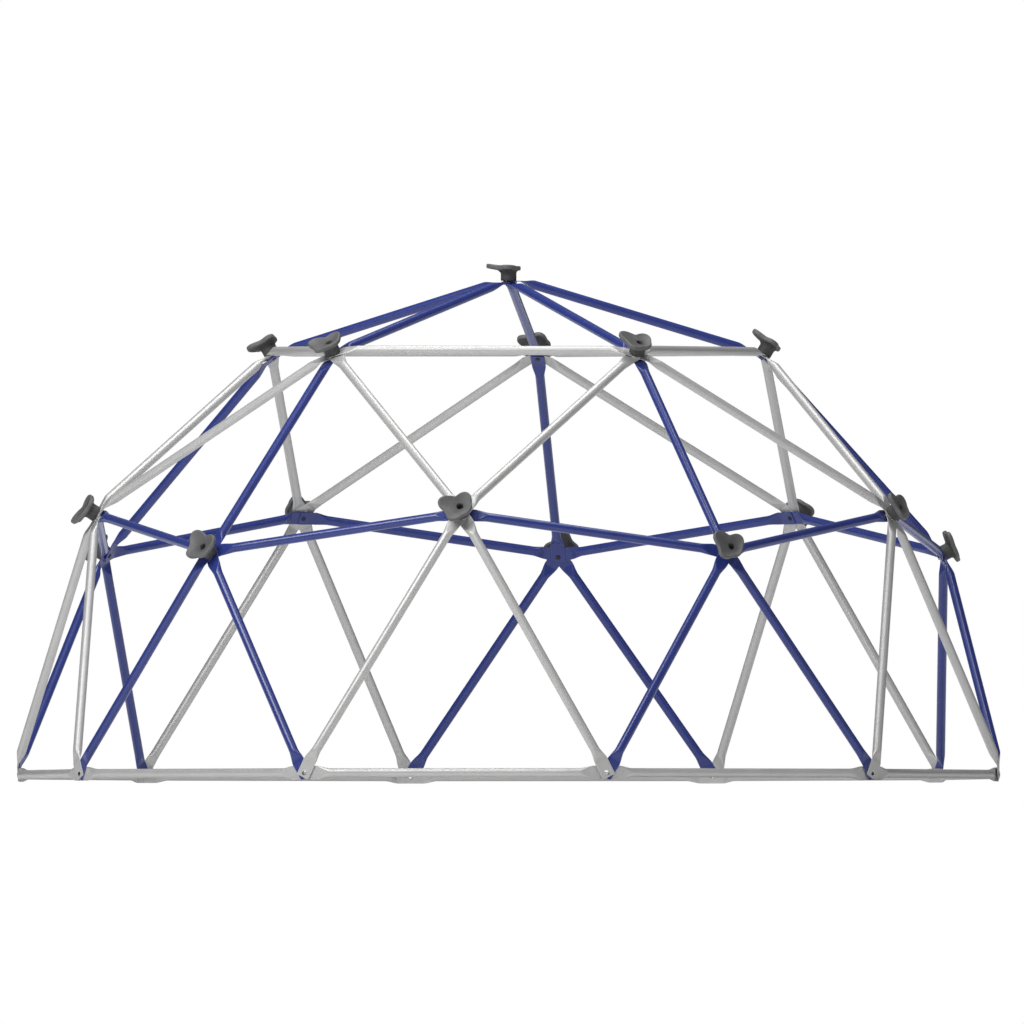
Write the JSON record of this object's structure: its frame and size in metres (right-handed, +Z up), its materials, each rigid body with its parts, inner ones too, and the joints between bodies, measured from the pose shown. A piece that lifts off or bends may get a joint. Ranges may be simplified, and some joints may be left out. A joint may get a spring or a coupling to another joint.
{
  "type": "dome climber",
  "caption": "Geodesic climbing dome of steel tubes with flattened, bolted ends and moulded climbing grips on the hubs above the ground.",
  "frame": {"origin": "on the ground, under the middle of the dome", "axes": "+Z up; +X through the middle of a ground hub, across the widest part of the dome; -Y the front, where a silver tripod of two legs and a belt hub faces out"},
  "size_m": [3.0112, 2.9034, 1.5795],
  "materials": {
    "blue_coat": "deep blue powder coat on steel tube, smooth satin gloss",
    "silver_coat": "silver-grey powder coat on steel tube, fine metallic satin",
    "grip_plastic": "charcoal moulded plastic with a fine sanded texture",
    "bright_zinc": "bright zinc plate",
    "black_zinc": "black zinc plate on steel"
  },
  "bodies": {
    "root": {"apex_tube_1": "blue_coat", "apex_tube_2": "blue_coat", "apex_tube_3": "blue_coat", "apex_tube_4": "blue_coat", "apex_tube_5": "blue_coat", "crown_tube_1": "silver_coat", "crown_tube_2": "silver_coat", "crown_tube_3": "silver_coat", "crown_tube_4": "silver_coat", "crown_tube_5": "silver_coat", "shoulder_tube_1": "blue_coat", "shoulder_tube_2": "blue_coat", "shoulder_tube_3": "blue_coat", "shoulder_tube_4": "blue_coat", "shoulder_tube_5": "blue_coat", "upper_brace_pair_1": "silver_coat", "upper_brace_pair_2": "silver_coat", "upper_brace_pair_3": "silver_coat", "upper_brace_pair_4": "silver_coat", "upper_brace_pair_5": "silver_coat", "belt_pair_1": "blue_coat", "belt_pair_2": "blue_coat", "belt_pair_3": "blue_coat", "belt_pair_4": "blue_coat", "belt_pair_5": "blue_coat", "blue_leg_pair_1": "blue_coat", "blue_leg_pair_2": "blue_coat", "blue_leg_pair_3": "blue_coat", "blue_leg_pair_4": "blue_coat", "blue_leg_pair_5": "blue_coat", "silver_leg_pair_1": "silver_coat", "silver_leg_pair_2": "silver_coat", "silver_leg_pair_3": "silver_coat", "silver_leg_pair_4": "silver_coat", "silver_leg_pair_5": "silver_coat", "ground_tube_pair_1": "silver_coat", "ground_tube_pair_2": "silver_coat", "ground_tube_pair_3": "silver_coat", "ground_tube_pair_4": "silver_coat", "ground_tube_pair_5": "silver_coat", "apex_grip": "grip_plastic", "crown_grip_1": "grip_plastic", "crown_grip_2": "grip_plastic", "crown_grip_3": "grip_plastic", "crown_grip_4": "grip_plastic", "crown_grip_5": "grip_plastic", "low_belt_grip_1": "grip_plastic", "low_belt_grip_2": "grip_plastic", "low_belt_grip_3": "grip_plastic", "low_belt_grip_4": "grip_plastic", "low_belt_grip_5": "grip_plastic", "high_belt_grip_1": "grip_plastic", "high_belt_grip_2": "grip_plastic", "high_belt_grip_3": "grip_plastic", "high_belt_grip_4": "grip_plastic", "high_belt_grip_5": "grip_plastic", "grip_bolts": "black_zinc", "grip_nuts": "black_zinc", "ground_rivets": "bright_zinc"}
  },
  "joints": []
}
